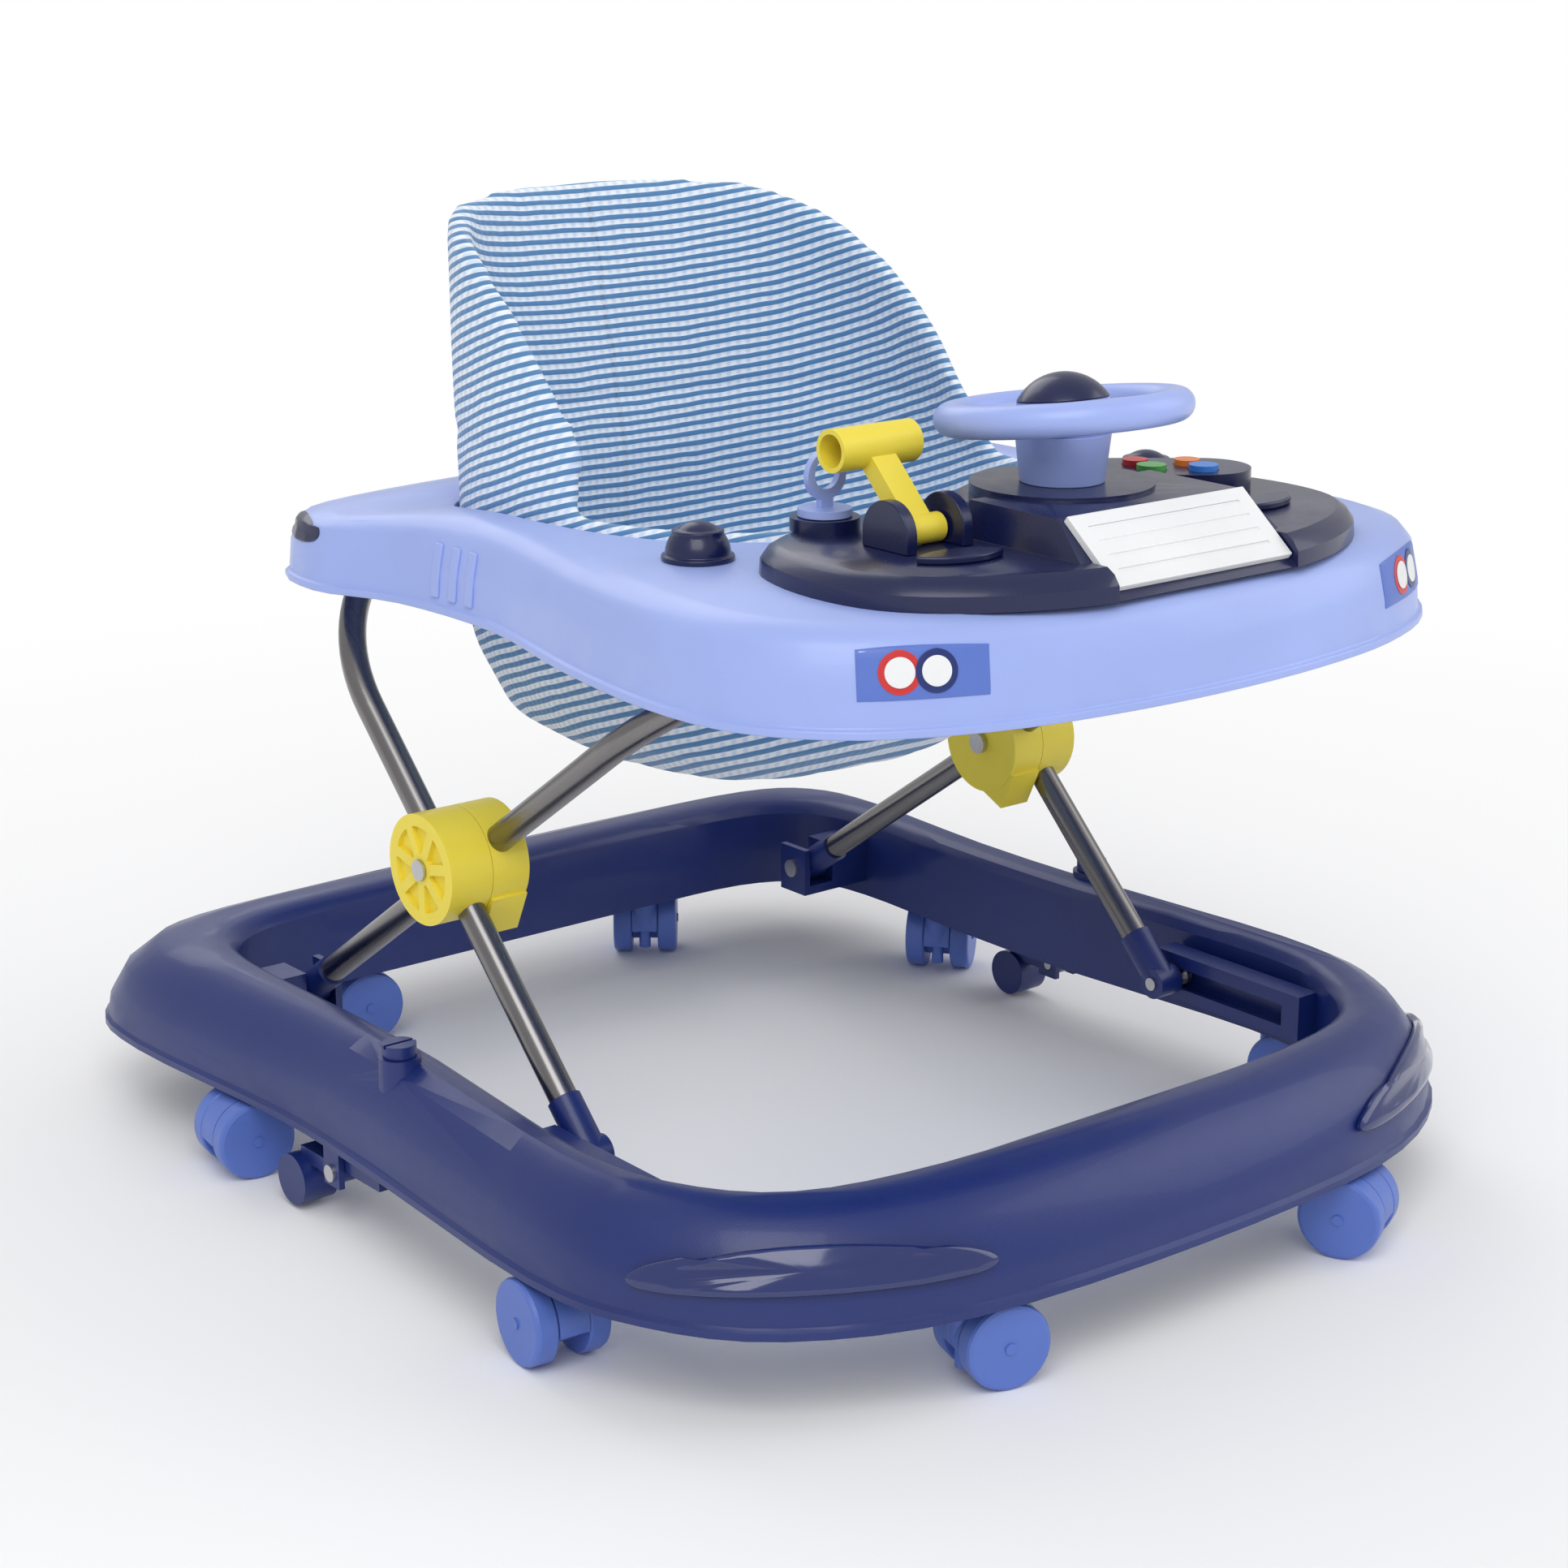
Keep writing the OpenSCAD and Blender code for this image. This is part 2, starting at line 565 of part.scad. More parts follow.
module lever_housing() {
    color("navy") translate(lever_c) {
        for (x = [-22, 15]) difference() {
            union() {
                translate([x, 0, 0]) rotate([0, 90, 0]) cylinder(r = 17, h = 7);
                translate([x, -17, -8]) cube([7, 34, 8]);
            }
            translate([-50, -50, -108]) cube(100);
        }
        rotate([0, 90, 0]) cylinder(r = 3, h = 34, center = true);
    }
}
module shift_lever() {
    color("gold") translate(lever_c) difference() {
        union() {
            rotate([0, 90, 0]) cylinder(r = 7.5, h = 26, center = true);
            rotate([lever_lean, 0, 0]) translate([-8, 0, -5]) cube([16, 50, 10]);
            rotate([lever_lean, 0, 0]) translate([0, 52, 0]) rotate([0, 90, 0]) cylinder(r = 11, h = 52, center = true);
        }
        rotate([0, 90, 0]) cylinder(r = 3 + run_gap, h = 60, center = true);
        rotate([lever_lean, 0, 0]) translate([-30, 52, 0]) rotate([0, 90, 0]) cylinder(r = 8.5, h = 46);
    }
}
boss_p = [-112 * sx, -176 * sy];
module spinner_boss() {
    color("navy") translate(concat(boss_p, deck_z)) difference() {
        cylinder(r = 18, h = 7);
        translate([0, 0, 1]) cylinder(r = 3 + run_gap, h = 10);
    }
}
module key_spinner() {
    color("cornflowerblue") translate(concat(boss_p, deck_z)) {
        translate([0, 0, 2]) cylinder(r = 3, h = 6);
        translate([0, 0, 7 + side_gap]) cylinder(r = 14, h = 4);
        translate([-4, -2, 11]) cube([8, 4, 10]);
        difference() {
            translate([0, 2, 28]) rotate([90, 0, 0]) cylinder(r = 12.5, h = 4);
            translate([0, 5, 29]) rotate([90, 0, 0]) cylinder(r = 8, h = 10);
        }
    }
}
pad_p = [100 * sx, -206 * sy];
pad_turn = -39;
pad_h = 12;
button_spots = [[-14, 6, 7], [-7, -10, 8], [14, 6, 7], [21, -10, 8]];
button_colours = ["red", "limegreen", "orange", "dodgerblue"];
module at_pad() {
    translate(concat(pad_p, deck_z)) rotate([0, 0, pad_turn]) children();
}
module music_pad() {
    color("midnightblue") at_pad() difference() {
        linear_extrude(pad_h) {
            square([46, 50], center = true);
            for (x = [-23, 23]) translate([x, 0]) circle(25);
        }
        translate([0, 0, -1]) linear_extrude(pad_h - 1) {
            square([46, 44], center = true);
            for (x = [-23, 23]) translate([x, 0]) circle(22);
        }
        for (b = button_spots) translate([b[0], b[1], -1]) cylinder(r = b[2] + side_gap, h = pad_h + 2);
    }
}
module music_button(k) {
    b = button_spots[k];
    color(button_colours[k]) at_pad() translate([b[0], b[1], 0]) {
        translate([0, 0, 4]) cylinder(r = b[2], h = pad_h - 1);
        translate([0, 0, 4]) cylinder(r = b[2] + 1, h = 2);
    }
}
module button_springs() {
    color("silver") at_pad() for (b = button_spots) translate([b[0], b[1], 0]) cylinder(r = 2.5, h = 1.8);
}
speaker_p = [-68 * sx, -204 * sy];
module speaker_cover() {
    color("mediumslateblue") translate(concat(speaker_p, deck_z)) difference() {
        cylinder(r = 8, h = 3);
        for (a = [0:60:359]) rotate([0, 0, a]) translate([4.6, 0, -1]) cylinder(r = 1.2, h = 6);
    }
}
module lens_domes() {
    color("navy") both_sides() translate([108 * sx, -274 * sy, deck_z]) rotate([0, 0, 12]) intersection() {
        translate([0, 26, 0]) cylinder(r = 36, h = 4);
        translate([0, -26, 0]) cylinder(r = 36, h = 4);
    }
}
module latch_knobs() {
    color("midnightblue") both_sides() translate([161 * sx, -134 * sy, tray_top]) {
        cylinder(r = 19, h = 3);
        translate([0, 0, 3]) intersection() {
            sphere(r = 17);
            cylinder(r = 20, h = 26);
        }
        translate([0, 0, 2]) cylinder(r = 13.5, h = 14);
    }
}
// Inside the toy panel
module battery_box() {
    color("gray") box([-30, steer_y - 24, tray_top], [30, steer_y + 24, tray_top + 18]);
}
module sound_board() {
    color("green") at_pad() translate([-22, -14, -deck_h]) cube([44, 28, 1.6]);
}
module sound_speaker() {
    color("black") translate(concat(speaker_p, tray_top)) cylinder(r = 7.5, h = deck_h - 6);
}

hoods = [for (i = [1:8]) str("caster_hood_", i)];
wheels = [for (i = [1:8]) str("caster_wheels_", i)];

base_ring();
brake_brackets();
base_pins();
brake_knob(1);  // brake_knob_left
brake_knob(0);  // brake_knob_right
brake_lever(1);  // brake_lever_left
brake_lever(0);  // brake_lever_right
for (i = [1:8]) caster_hood(i);
for (i = [1:8]) caster_wheels(i);
tube_a();
feet_a();
hub_inner();
hub_bolts();
tube_b();
feet_b();
slide_pins();
hub_outer();
tray_shell();
pivot_clips();
height_racks();
seat();
toy_panel();
grille();
steering_column();
steering_wheel();
steering_cap();
lever_housing();
shift_lever();
spinner_boss();
key_spinner();
music_pad();
music_button(0);  // button_red
music_button(1);  // button_green
music_button(2);  // button_orange
music_button(3);  // button_blue
button_springs();
speaker_cover();
lens_domes();
latch_knobs();
battery_box();
sound_board();
sound_speaker();
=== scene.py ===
import math, json
import bpy, bmesh
from mathutils import Vector, Matrix, noise
from mathutils.bvhtree import BVHTree

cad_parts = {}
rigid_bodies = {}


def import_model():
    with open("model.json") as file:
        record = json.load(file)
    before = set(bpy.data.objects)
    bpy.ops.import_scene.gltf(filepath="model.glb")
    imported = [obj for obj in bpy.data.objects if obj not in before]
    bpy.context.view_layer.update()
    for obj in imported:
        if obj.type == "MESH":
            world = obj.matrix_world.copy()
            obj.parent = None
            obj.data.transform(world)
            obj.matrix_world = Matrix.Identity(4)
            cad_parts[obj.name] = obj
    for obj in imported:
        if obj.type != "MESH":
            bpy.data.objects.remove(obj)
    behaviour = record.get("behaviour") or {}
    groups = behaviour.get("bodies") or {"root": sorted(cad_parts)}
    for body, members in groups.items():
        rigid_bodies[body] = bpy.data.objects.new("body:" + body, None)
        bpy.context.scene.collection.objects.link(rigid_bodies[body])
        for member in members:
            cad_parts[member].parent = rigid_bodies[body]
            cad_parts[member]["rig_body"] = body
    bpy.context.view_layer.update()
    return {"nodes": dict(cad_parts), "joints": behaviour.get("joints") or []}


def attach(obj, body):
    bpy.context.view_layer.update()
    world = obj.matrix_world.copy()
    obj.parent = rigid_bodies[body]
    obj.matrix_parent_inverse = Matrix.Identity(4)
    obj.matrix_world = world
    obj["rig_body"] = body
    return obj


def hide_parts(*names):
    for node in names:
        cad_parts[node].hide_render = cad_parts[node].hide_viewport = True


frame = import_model()
mm = 0.001
print("frame loaded")


# stage, camera and lights
camera = {"place": (-1.1186, -1.3862, 0.7386), "turn": (73.73, 0.0, -39.0), "lens": 72.42}
light = {"world": 0.62, "key": 46.0, "fill": 16.0, "back": 18.0}


def makeStage():
    scene = bpy.context.scene
    scene.view_settings.view_transform = "Standard"
    cam = bpy.data.cameras.new("camera")
    cam.lens = camera["lens"]
    cam.sensor_width = 36
    cam.clip_end = 50
    camObject = bpy.data.objects.new("camera", cam)
    camObject.location = camera["place"]
    camObject.rotation_euler = [math.radians(a) for a in camera["turn"]]
    scene.collection.objects.link(camObject)
    scene.camera = camObject
    for name, place, size, power in (
        ("key", (-1.6, -1.8, 2.6), 2.2, light["key"]),
        ("fill", (2.2, -1.4, 1.6), 2.0, light["fill"]),
        ("back", (0.4, 2.4, 2.2), 2.0, light["back"]),
    ):
        lamp = bpy.data.lights.new(name, "AREA")
        lamp.size = size
        lamp.energy = power
        lampObject = bpy.data.objects.new(name, lamp)
        lampObject.location = place
        aim = Vector((0, 0, 0.25)) - Vector(place)
        lampObject.rotation_euler = aim.to_track_quat("-Z", "Y").to_euler()
        scene.collection.objects.link(lampObject)
    world = bpy.data.worlds.new("world")
    world.use_nodes = True
    scene.world = world
    back = world.node_tree.nodes["Background"]
    back.inputs["Color"].default_value = (1, 1, 1, 1)
    rays = world.node_tree.nodes.new("ShaderNodeLightPath")
    mix = world.node_tree.nodes.new("ShaderNodeMapRange")
    mix.inputs["To Min"].default_value = light["world"]
    mix.inputs["To Max"].default_value = 1.0
    world.node_tree.links.new(rays.outputs["Is Camera Ray"], mix.inputs["Value"])
    world.node_tree.links.new(mix.outputs["Result"], back.inputs["Strength"])
    bm = bmesh.new()
    bmesh.ops.create_grid(bm, x_segments=1, y_segments=1, size=9)
    floor = newObject("floor", bm)
    finish(floor, makeFloor())


# shader maths
class Wire:
    def __init__(self, tree, socket):
        self.tree, self.socket = tree, socket

    def add(self, kind, settings=None, **values):
        node = self.tree.nodes.new(kind)
        for name, value in (settings or {}).items():
            if name == "stops":
                ramp = node.color_ramp
                while len(ramp.elements) < len(value):
                    ramp.elements.new(1.0)
                for element, (place, colour) in zip(ramp.elements, value):
                    element.position = place
                    element.color = (*colour, 1)
            else:
                setattr(node, name, value)
        for name, value in values.items():
            numbered = name[0] == "i" and name[1:].isdigit()
            key = int(name[1:]) if numbered else name.replace("_", " ")
            if isinstance(value, Wire):
                self.tree.links.new(value.socket, node.inputs[key])
            elif value is not None:
                node.inputs[key].default_value = value
        return node

    def out(self, node, name=0):
        return Wire(self.tree, node.outputs[name])

    def math(self, operation, *values):
        return self.out(self.add("ShaderNodeMath", {"operation": operation},
                                 **{f"i{k}": v for k, v in enumerate(values)}))

    def __add__(self, other):
        return self.math("ADD", self, other)

    def __radd__(self, other):
        return self.math("ADD", other, self)

    def __sub__(self, other):
        return self.math("SUBTRACT", self, other)

    def __rsub__(self, other):
        return self.math("SUBTRACT", other, self)

    def __mul__(self, other):
        return self.math("MULTIPLY", self, other)

    def noise(self, scale, detail=3.0, rough=0.5):
        node = self.add("ShaderNodeTexNoise", Vector=self, Scale=scale, Detail=detail, Roughness=rough)
        return self.out(node, 0)

    def ramp(self, *stops):
        return self.out(self.add("ShaderNodeValToRGB", {"stops": stops}, Fac=self))

    def blend(self, low, high):
        node = self.add("ShaderNodeMix", {"data_type": "RGBA"}, i0=self)
        for key, value in ((6, low), (7, high)):
            if isinstance(value, Wire):
                self.tree.links.new(value.socket, node.inputs[key])
            else:
                node.inputs[key].default_value = (*value, 1)
        return self.out(node, 2)


def startMaterial(name):
    mat = bpy.data.materials.new(name)
    mat.use_nodes = True
    tree = mat.node_tree
    shader = tree.nodes["Principled BSDF"]
    place = Wire(tree, tree.nodes.new("ShaderNodeTexCoord").outputs["Object"])
    return mat, shader, place


def drive(shader, tree, name, value):
    if isinstance(value, Wire):
        tree.links.new(value.socket, shader.inputs[name])
    elif isinstance(value, tuple):
        shader.inputs[name].default_value = (*value, 1)
    else:
        shader.inputs[name].default_value = value


def bump(shader, place, height, strength, distance):
    node = place.add("ShaderNodeBump", Height=height, Strength=strength, Distance=distance)
    place.tree.links.new(node.outputs[0], shader.inputs["Normal"])


# pale floor that keeps the shadow near the object and fades to the white background further out
def makeFloor():
    mat, shader, place = startMaterial("floorWhite")
    drive(shader, place.tree, "Base Color", (0.93, 0.93, 0.94))
    drive(shader, place.tree, "Roughness", 0.9)
    tree = place.tree
    reach = place.out(place.add("ShaderNodeVectorMath", {"operation": "LENGTH"}, i0=place), 1)
    far = place.out(place.add("ShaderNodeMapRange", Value=reach, From_Min=0.45, From_Max=1.5), 0)
    rays = tree.nodes.new("ShaderNodeLightPath")
    direct = Wire(tree, rays.outputs["Is Camera Ray"])
    mirrored = Wire(tree, rays.outputs["Is Glossy Ray"])
    seen = place.math("MAXIMUM", direct, mirrored)
    glow = tree.nodes.new("ShaderNodeEmission")
    mix = tree.nodes.new("ShaderNodeMixShader")
    tree.links.new((far * seen).socket, mix.inputs[0])
    tree.links.new(shader.outputs[0], mix.inputs[1])
    tree.links.new(glow.outputs[0], mix.inputs[2])
    tree.links.new(mix.outputs[0], tree.nodes["Material Output"].inputs["Surface"])
    return mat


# moulded plastic: cloudy colour, fine grain, handling wear that dulls the gloss
def makePlastic(name, colour, rough=0.35, grain=0.35, coat=0.0):
    mat, shader, place = startMaterial(name)
    cloud = place.noise(9.0, 4.0)
    fine = place.noise(1400.0, 2.0)
    scuff = place.noise(55.0, 6.0, 0.7)
    darker = tuple(c * 0.86 for c in colour)
    lighter = tuple(min(1.0, c * 1.08 + 0.003) for c in colour)
    drive(shader, place.tree, "Base Color", cloud.blend(darker, lighter))
    drive(shader, place.tree, "Roughness", rough - 0.06 + scuff * 0.16)
    shader.inputs["Coat Weight"].default_value = coat
    shader.inputs["Coat Roughness"].default_value = 0.08
    bump(shader, place, fine * 0.6 + cloud * 0.8, grain, 0.0004)
    return mat


def makeMetal(name, colour, rough, streaks):
    mat, shader, place = startMaterial(name)
    stretch = place.add("ShaderNodeMapping", Vector=place)
    stretch.inputs["Scale"].default_value = streaks
    lines = place.out(stretch).noise(1.0, 4.0)
    drive(shader, place.tree, "Base Color", lines.blend(tuple(c * 0.75 for c in colour), colour))
    drive(shader, place.tree, "Metallic", 1.0)
    drive(shader, place.tree, "Roughness", rough + lines * 0.14)
    bump(shader, place, lines, 0.12, 0.0002)
    return mat


cloth = {"stripe": 0.0062, "thread": 1500.0, "white": (0.86, 0.91, 0.97), "blue": (0.09, 0.24, 0.47),
         "pale": (0.36, 0.53, 0.78)}


# crinkled stripe cloth: blue rows on white, broken by fine cross threads, puckered between the rows
def makeCloth(name):
    mat, shader, place = startMaterial(name)
    rows = place.out(place.add("ShaderNodeAttribute", {"attribute_name": "drop"}), "Fac")
    across = place.out(place.add("ShaderNodeAttribute", {"attribute_name": "girth"}), "Fac")
    wobble = place.noise(26.0, 3.0) * 0.0032
    wave = (rows + wobble) * (2 * math.pi / cloth["stripe"])
    stripe = place.math("SINE", wave) * 0.5 + 0.5
    crossWave = (across + place.noise(40.0) * 0.002) * (2 * math.pi / 0.0066)
    crossing = place.math("SINE", crossWave) * 0.5 + 0.5
    thread = place.noise(cloth["thread"], 2.0)
    body = stripe.ramp((0.34, cloth["white"]), (0.5, cloth["pale"]), (0.62, cloth["blue"]))
    broken = (crossing * (1.0 - stripe)).ramp((0.3, cloth["white"]), (0.75, (0.66, 0.77, 0.92)))
    pick = stripe.ramp((0.42, (0, 0, 0)), (0.52, (1, 1, 1)))
    drive(shader, place.tree, "Base Color", pick.blend(broken, body))
    drive(shader, place.tree, "Roughness", 0.82 + thread * 0.14)
    shader.inputs["Sheen Weight"].default_value = 0.25
    bump(shader, place, stripe * 0.5 + crossing * stripe * 0.5 + thread * 0.3, 0.55, 0.0012)
    return mat


# mesh helpers
def newObject(name, bm, smooth=40.0):
    mesh = bpy.data.meshes.new(name)
    bm.to_mesh(mesh)
    bm.free()
    obj = bpy.data.objects.new(name, mesh)
    bpy.context.scene.collection.objects.link(obj)
    if smooth:
        mesh.shade_smooth()
        mesh.set_sharp_from_angle(angle=math.radians(smooth))
    return obj


def finish(obj, mat):
    obj.data.materials.clear()
    obj.data.materials.append(mat)
    return obj


def ready(obj, mat, body, replaces=()):
    finish(obj, mat)
    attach(obj, body)
    if replaces:
        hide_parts(*replaces)
    return obj


def subdivide(obj, levels):
    mod = obj.modifiers.new("round", "SUBSURF")
    mod.levels = mod.render_levels = levels


def applyAll(obj):
    depsgraph = bpy.context.evaluated_depsgraph_get()
    mesh = bpy.data.meshes.new_from_object(obj.evaluated_get(depsgraph))
    obj.modifiers.clear()
    obj.data = mesh


def ease(low, high, value):
    u = min(1.0, max(0.0, (value - low) / (high - low)))
    return u * u * (3 - 2 * u)


def addBox(bm, low, high, bevel=0.0, segments=2, turn=None, about=None):
    size = [b - a for a, b in zip(low, high)]
    centre = Vector([(a + b) / 2 for a, b in zip(low, high)])
    made = bmesh.ops.create_cube(bm, size=1.0)["verts"]
    bmesh.ops.scale(bm, vec=size, verts=made)
    bmesh.ops.translate(bm, vec=centre, verts=made)
    if bevel:
        around = list({e for v in made for e in v.link_edges})
        made = bmesh.ops.bevel(bm, geom=around, offset=bevel, offset_type="OFFSET", segments=segments,
                               profile=0.5, affect="EDGES", material=-1, clamp_overlap=True)["verts"]
        made = list({v for v in made} | {v for f in bm.faces for v in f.verts if v in made})
    if turn:
        bmesh.ops.rotate(bm, cent=about or centre, matrix=turn, verts=made)
    return made


# a turned piece: the profile is (radius, height) pairs, spun about an axis through a place
def addTurned(bm, profile, place, axis=(0, 0, 1), steps=48):
    verts = [bm.verts.new((r, 0, h)) for r, h in profile]
    edges = [bm.edges.new(pair) for pair in zip(verts, verts[1:])]
    spun = bmesh.ops.spin(bm, geom=verts + edges, cent=(0, 0, 0), axis=(0, 0, 1), dvec=(0, 0, 0),
                          angle=2 * math.pi, steps=steps, use_merge=True, use_duplicate=False)
    island, stack = set(), list(verts)
    while stack:
        v = stack.pop()
        if v in island or not v.is_valid:
            continue
        island.add(v)
        stack.extend(e.other_vert(v) for e in v.link_edges)
    bmesh.ops.remove_doubles(bm, verts=list(island), dist=1e-6)
    island = [v for v in island if v.is_valid]
    turn = Vector((0, 0, 1)).rotation_difference(Vector(axis)).to_matrix().to_4x4()
    bmesh.ops.transform(bm, matrix=Matrix.Translation(place) @ turn, verts=island)
    faces = list({f for v in island for f in v.link_faces})
    bmesh.ops.recalc_face_normals(bm, faces=faces)
    return island


def roundProfile(radius, low, high, edge, segments=4):
    points = [(0.0, low)]
    for k in range(segments + 1):
        a = math.pi / 2 * k / segments
        points.append((radius - edge + edge * math.sin(a), low + edge - edge * math.cos(a)))
    for k in range(segments + 1):
        a = math.pi / 2 * k / segments
        points.append((radius - edge + edge * math.cos(a), high - edge + edge * math.sin(a)))
    points.append((0.0, high))
    return points


def addRod(bm, place, axis, low, high, radius, edge=0.4 * mm, steps=48):
    return addTurned(bm, roundProfile(radius, low, high, edge), place, axis, steps)


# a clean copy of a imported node: merged, smooth and with its edges softened
def softened(node, name, bevel=0.5 * mm, angle=35):
    source = frame["nodes"][node]
    bm = bmesh.new()
    bm.from_mesh(source.data)
    bmesh.ops.remove_doubles(bm, verts=bm.verts, dist=1e-6)
    bmesh.ops.dissolve_limit(bm, angle_limit=math.radians(1.0), verts=bm.verts, edges=bm.edges)
    obj = newObject(name, bm, smooth=angle)
    if bevel:
        mod = obj.modifiers.new("edge", "BEVEL")
        mod.width = bevel
        mod.segments = 2
        mod.limit_method = "ANGLE"
        mod.angle_limit = math.radians(angle)
        mod.harden_normals = True
    return obj


# finishes, by the record's slot
finishes = {
    "navy_plastic": makePlastic("navyPlastic", (0.006, 0.021, 0.156), 0.36, 0.4, 0.15),
    "navy_gloss": makePlastic("navyGloss", (0.003, 0.007, 0.06), 0.27, 0.12, 0.18),
    "bumper": makePlastic("bumperGloss", (0.005, 0.017, 0.13), 0.14, 0.05, 0.7),
    "blue_plastic": makePlastic("blueWheelPlastic", (0.10, 0.18, 0.58), 0.38),
    "tray_plastic": makePlastic("trayPlastic", (0.35, 0.445, 0.855), 0.34, 0.3, 0.1),
    "yellow_plastic": makePlastic("yellowPlastic", (0.91, 0.74, 0.06), 0.36),
    "white_plastic": makePlastic("whitePlastic", (0.84, 0.85, 0.86), 0.32),
    "red_plastic": makePlastic("redPlastic", (0.62, 0.03, 0.03), 0.3),
    "green_plastic": makePlastic("greenPlastic", (0.09, 0.46, 0.08), 0.3),
    "orange_plastic": makePlastic("orangePlastic", (0.84, 0.22, 0.03), 0.3),
    "button_blue": makePlastic("blueButtonPlastic", (0.04, 0.22, 0.72), 0.3),
    "grey_plastic": makePlastic("greyPlastic", (0.22, 0.22, 0.24), 0.5),
    "board": makePlastic("boardLacquer", (0.02, 0.16, 0.05), 0.4),
    "tube": makeMetal("darkChrome", (0.26, 0.25, 0.25), 0.2, (260, 8, 8)),
    "steel": makeMetal("zincSteel", (0.62, 0.62, 0.63), 0.28, (400, 400, 60)),
}
slotOf = {"base_pins": "steel", "hub_bolts": "steel", "slide_pins": "steel", "tube_a": "tube", "tube_b": "tube",
          "hub_inner": "yellow_plastic", "hub_outer": "yellow_plastic", "pivot_clips": "yellow_plastic",
          "shift_lever": "yellow_plastic", "tray_shell": "tray_plastic", "steering_column": "tray_plastic",
          "steering_wheel": "tray_plastic", "key_spinner": "tray_plastic", "steering_cap": "navy_gloss",
          "music_pad": "navy_gloss", "lens_domes": "navy_gloss", "latch_knobs": "navy_gloss",
          "toy_panel": "navy_gloss", "lever_housing": "navy_gloss", "spinner_boss": "navy_gloss",
          "grille": "white_plastic", "speaker_cover": "blue_plastic", "button_red": "red_plastic",
          "button_green": "green_plastic", "button_orange": "orange_plastic", "button_blue": "button_blue",
          "button_springs": "steel", "battery_box": "grey_plastic", "sound_speaker": "grey_plastic",
          "sound_board": "board"}
soft = {"base_ring": 0.8, "tray_shell": 0.8, "toy_panel": 1.2, "steering_wheel": 0.8, "steering_cap": 1.0,
        "hub_outer": 0.9, "hub_inner": 0.9, "latch_knobs": 1.0, "music_pad": 1.0, "lens_domes": 1.2,
        "shift_lever": 1.0, "lever_housing": 0.8, "grille": 0.8, "steering_column": 0.6, "key_spinner": 0.5}
for node, holder in frame["nodes"].items():
    if node == "seat":
        continue
    isCaster = node.startswith("caster_")
    slotName = "blue_plastic" if isCaster else slotOf.get(node, "navy_plastic")
    if node in soft:
        piece = softened(node, node + "_moulded", soft[node] * mm)
        ready(piece, finishes[slotName], holder["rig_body"], [node])
    else:
        holder.data.shade_smooth()
        holder.data.set_sharp_from_angle(angle=math.radians(35))
        finish(holder, finishes[slotName])
print("moulded parts ready")


# wraps a flat piece onto a surface: x and y run along it, z stands off it
def layOn(bm, tree, centre, turn=0.0):
    place, normal, _, _ = tree.find_nearest(Vector(centre))
    side = Vector((0, 0, 1)).cross(normal).normalized()
    up = normal.cross(side)
    side, up = side * math.cos(turn) + up * math.sin(turn), up * math.cos(turn) - side * math.sin(turn)
    for v in bm.verts:
        spot, out, _, _ = tree.find_nearest(place + side * v.co.x + up * v.co.y)
        v.co = spot + out * v.co.z


def treeOf(node):
    mesh = frame["nodes"][node].data
    places = [v.co.copy() for v in mesh.vertices]
    return BVHTree.FromPolygons(places, [tuple(p.vertices) for p in mesh.polygons])


trayTree = treeOf("tray_shell")
ringTree = treeOf("base_ring")
lamp = {"place": (170, -319, 377), "panel": (33, 13), "rings": 10.5}


def addOval(bm, centre, halfX, halfY, low, high, steps=40):
    island = addTurned(bm, roundProfile(1.0, 0.0, 1.0, 0.3), (0, 0, 0), steps=steps)
    bmesh.ops.scale(bm, vec=(halfX, halfY, high - low), verts=island)
    bmesh.ops.translate(bm, vec=(*centre, low), verts=island)


def flatPiece(name, build, tree, centre, slotName, body, turn=0.0, cuts=0):
    bm = bmesh.new()
    build(bm)
    if cuts:
        bmesh.ops.subdivide_edges(bm, edges=bm.edges, cuts=cuts, use_grid_fill=True)
    layOn(bm, tree, [c * mm for c in centre], turn)
    return ready(newObject(name, bm), finishes[slotName], body)


rib = {"across": 3.5, "along": 15, "sunk": -0.5, "proud": 1.6, "round": 1.4,
       "x": 212, "first": 8, "step": 16, "z": 370}
tail = {"halfX": 30, "halfY": 9, "thick": 0.8, "place": (226, 158, 380)}
bumper = {"halfX": 104, "halfY": 12, "sunk": -0.5, "proud": 5, "place": (225, -301, 82)}


def mirrored(place, side):
    return side * place[0], place[1], place[2]


def buildLamp(tag, side):
    spot = mirrored(lamp["place"], side)
    w, h = (v * mm for v in lamp["panel"])
    flatPiece("lampPanel_" + tag,
              lambda bm: addBox(bm, (-w, -h, 0.05 * mm), (w, h, 0.4 * mm), 0.15 * mm),
              trayTree, spot, "blue_plastic", "tray", cuts=7)
    for k, slotName in ((-1, "red_plastic"), (1, "navy_plastic")):
        x = (k * 9 + 3 * side) * mm
        r = lamp["rings"] * mm
        flatPiece(f"lampRing_{tag}_{slotName}",
                  lambda bm: addOval(bm, (x, 0), r, r, 0.4 * mm, (0.8 + k * 0.1) * mm),
                  trayTree, spot, slotName, "tray")
        flatPiece(f"lampGlass_{tag}_{slotName}",
                  lambda bm: addOval(bm, (x, 0), r * 0.7, r * 0.7, 0.7 * mm, 1.3 * mm),
                  trayTree, spot, "white_plastic", "tray")


def buildRib(tag, side, k):
    w, h = rib["across"] * mm, rib["along"] * mm
    flatPiece(f"trayRib_{tag}_{k}",
              lambda bm: addBox(bm, (-w, -h, rib["sunk"] * mm), (w, h, rib["proud"] * mm),
                                rib["round"] * mm, 4),
              trayTree, (side * rib["x"], rib["first"] + rib["step"] * k, rib["z"]),
              "tray_plastic", "tray", cuts=2)


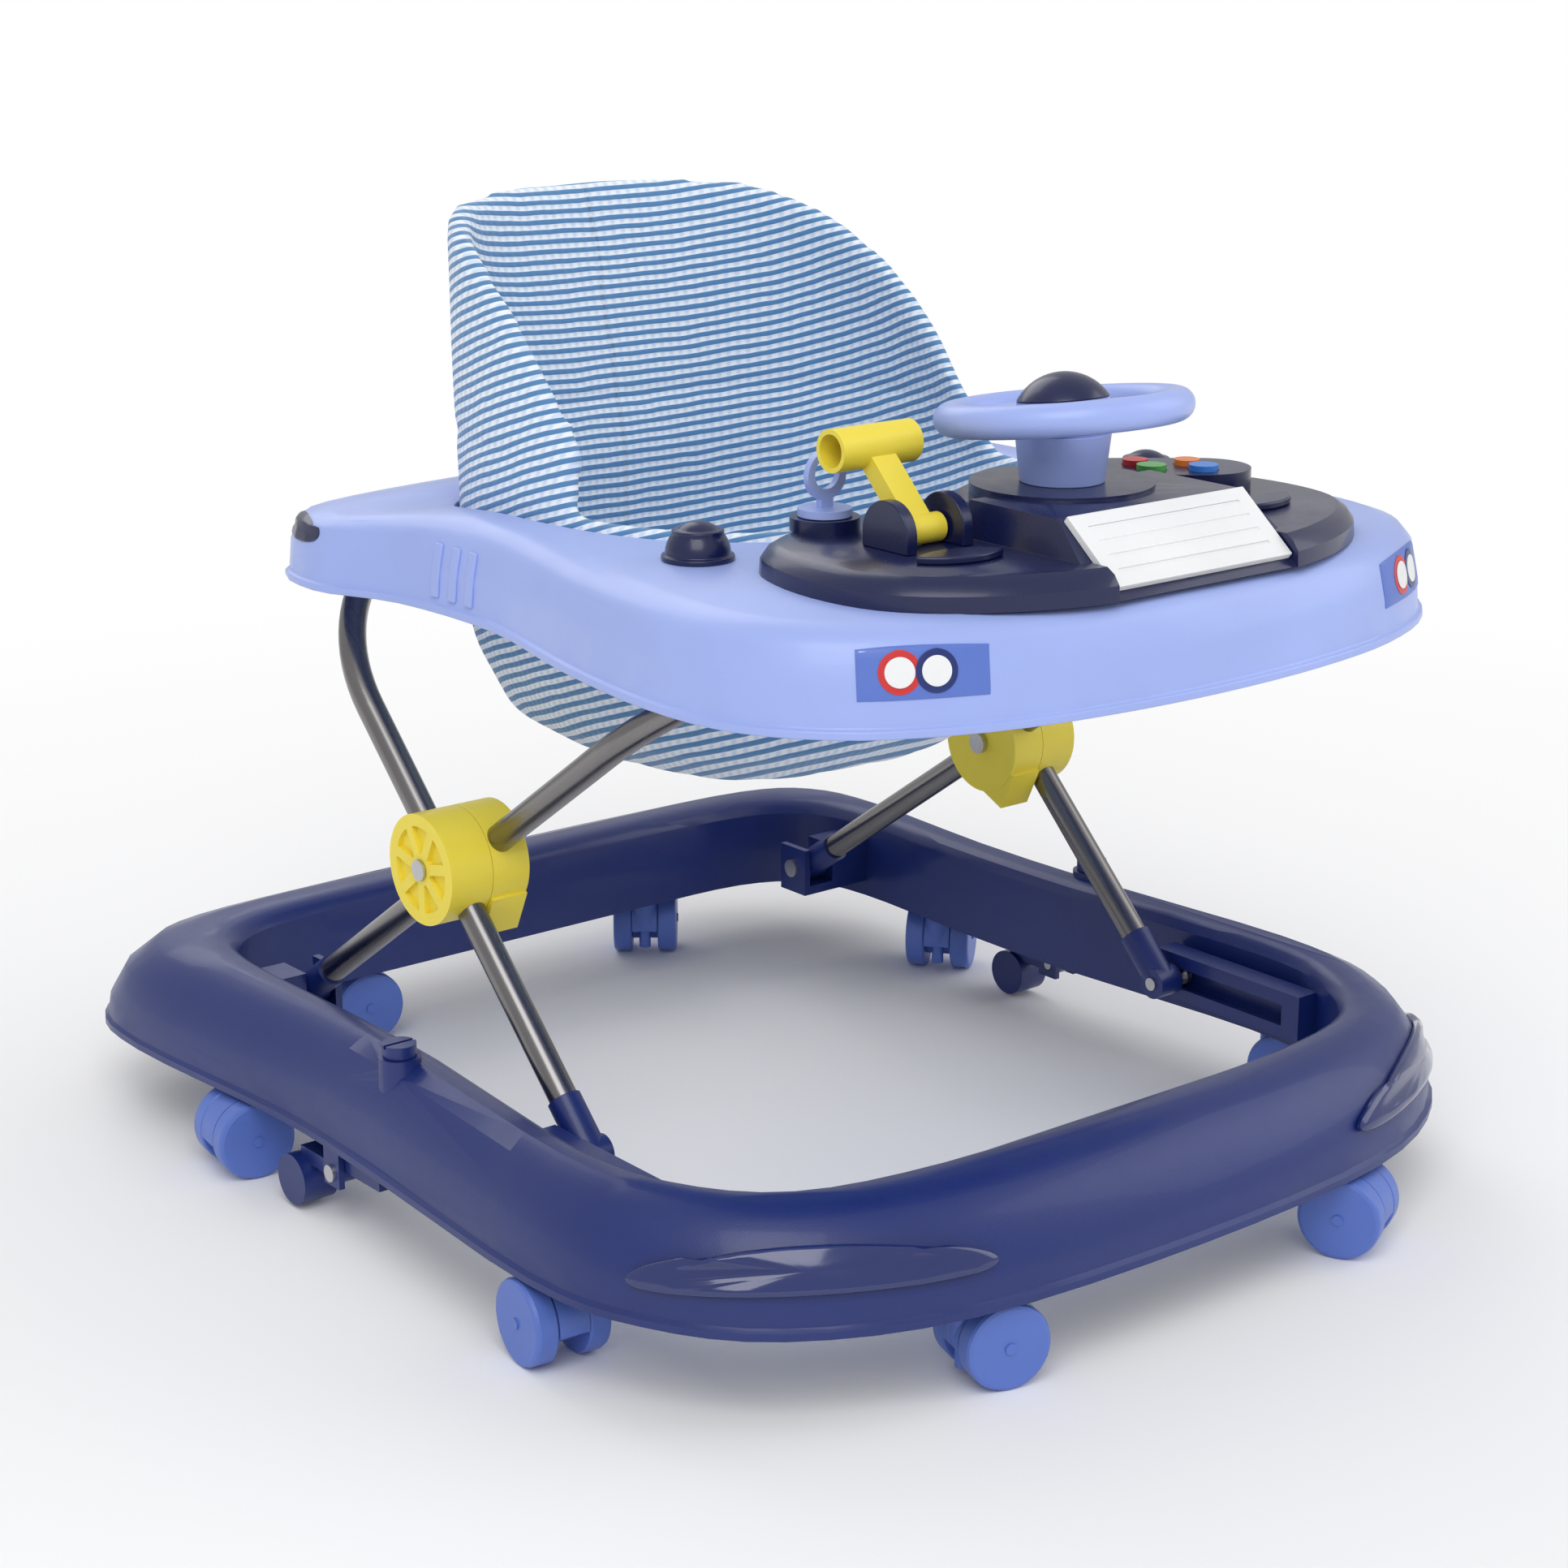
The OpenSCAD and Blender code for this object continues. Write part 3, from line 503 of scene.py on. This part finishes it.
for side, tag in ((-1, "left"), (1, "right")):
    buildLamp(tag, side)
    for k in range(3):
        buildRib(tag, side, k)
    flatPiece("tailSticker_" + tag,
              lambda bm: addOval(bm, (0, 0), tail["halfX"] * mm, tail["halfY"] * mm,
                                 0.05 * mm, tail["thick"] * mm),
              trayTree, mirrored(tail["place"], side), "navy_gloss", "tray", cuts=1)
    flatPiece("bumper_" + tag,
              lambda bm: addOval(bm, (0, 0), bumper["halfX"] * mm, bumper["halfY"] * mm,
                                 bumper["sunk"] * mm, bumper["proud"] * mm, 64),
              ringTree, mirrored(bumper["place"], side), "bumper", "base")
print("stickers, ribs and bumpers ready")

for joint in frame["joints"]:
    if joint["name"].startswith("roll_"):
        bm = bmesh.new()
        for way in (-1, 1):
            axis = Vector(joint["axis"]) * way
            addRod(bm, joint["pos_m"], axis, 21.5 * mm, 22.6 * mm, 2.6 * mm, 0.5 * mm, 24)
        ready(newObject("rivets_" + joint["name"][5:], bm), finishes["steel"], joint["child"])
print("rivets ready")

seat = {"voxel": 4.5 * mm, "swell": 1.0 * mm, "gather": 1.1 * mm, "channels": 9, "centre": (0.0, 0.015)}


def makeSeat():
    source = frame["nodes"]["seat"]
    bm = bmesh.new()
    bm.from_mesh(source.data)
    bmesh.ops.remove_doubles(bm, verts=bm.verts, dist=1e-6)
    obj = newObject("seat_padded", bm, 0)
    mod = obj.modifiers.new("cells", "REMESH")
    mod.mode = "VOXEL"
    mod.voxel_size = seat["voxel"]
    applyAll(obj)
    bm = bmesh.new()
    bm.from_mesh(obj.data)
    for _ in range(6):
        bmesh.ops.smooth_vert(bm, verts=bm.verts, factor=0.5,
                              use_axis_x=True, use_axis_y=True, use_axis_z=True)
    bm.normal_update()
    moves = []
    for v in bm.verts:
        x, y, z = v.co.x, v.co.y - seat["centre"][1], v.co.z
        angle = math.atan2(x, -y)
        channel = abs(math.sin(angle * seat["channels"]))
        low = 1.0 - ease(0.37, 0.44, z)
        pleat = seat["swell"] * (channel ** 0.5 - 0.6) * low
        fold = noise.noise(Vector((x * 22, y * 22, z * 9))) * seat["gather"]
        seam = -1.6 * mm * math.exp(-((z - 0.428) / 0.0035) ** 2) * ease(0.0, 0.05, y)
        moves.append(v.normal * (pleat + fold + seam))
    for v, move in zip(bm.verts, moves):
        v.co += move
    bm.to_mesh(obj.data)
    bm.free()
    subdivide(obj, 1)
    applyAll(obj)
    drop = obj.data.attributes.new("drop", "FLOAT", "POINT")
    girth = obj.data.attributes.new("girth", "FLOAT", "POINT")
    for i, v in enumerate(obj.data.vertices):
        drop.data[i].value = v.co.z + 0.35 * v.co.y
        girth.data[i].value = 0.16 * math.atan2(v.co.x, seat["centre"][1] - v.co.y)
    obj.data.shade_smooth()
    ready(obj, makeCloth("stripedCloth"), source["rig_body"], ["seat"])


makeSeat()
print("seat ready")
makeStage()
print("stage ready")
